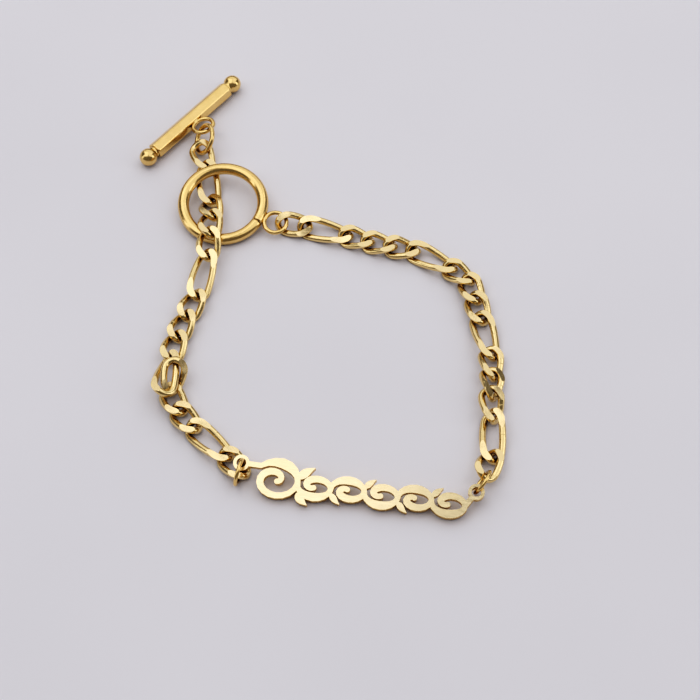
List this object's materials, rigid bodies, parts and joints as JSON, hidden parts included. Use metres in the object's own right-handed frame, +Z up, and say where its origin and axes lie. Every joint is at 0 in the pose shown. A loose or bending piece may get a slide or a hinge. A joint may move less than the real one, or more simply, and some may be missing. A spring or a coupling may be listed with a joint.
{
  "type": "nameplate bracelet",
  "caption": "Gold-tone curb chain bracelet laid open, with a pierced vine plate between jump rings and a toggle ring and bar clasp.",
  "frame": {"origin": "middle of the laid-out bracelet's bounding box, on the table", "axes": "+Z up from the table, +Y from the plate towards the clasp, +X to the right seen with the plate in front"},
  "size_m": [0.0555, 0.0794, 0.0043],
  "materials": {
    "chain": "gold-plated stainless steel links, ground flat and polished",
    "clasp": "gold-plated stainless steel, bright polished wire, bar and jump rings",
    "plate": "pale gold-plated stainless steel sheet, polished face and cut edges"
  },
  "bodies": {
    "root": {"toggle_bar": "clasp", "bar_jump_ring": "clasp", "toggle_ring": "clasp", "left_link_1": "chain", "left_link_2": "chain", "left_link_3": "chain", "left_link_4": "chain", "left_link_5": "chain", "left_link_6": "chain", "left_link_7": "chain", "left_link_8": "chain", "left_link_9": "chain", "left_link_10": "chain", "left_link_11": "chain", "left_link_12": "chain", "left_link_13": "chain", "left_link_14": "chain", "left_link_15": "chain", "right_link_1": "chain", "right_link_2": "chain", "right_link_3": "chain", "right_link_4": "chain", "right_link_5": "chain", "right_link_6": "chain", "right_link_7": "chain", "right_link_8": "chain", "right_link_9": "chain", "right_link_10": "chain", "right_link_11": "chain", "right_link_12": "chain", "right_link_13": "chain", "right_link_14": "chain", "right_link_15": "chain", "left_plate_jump_ring": "clasp", "right_plate_jump_ring": "clasp", "nameplate": "plate"}
  },
  "joints": []
}
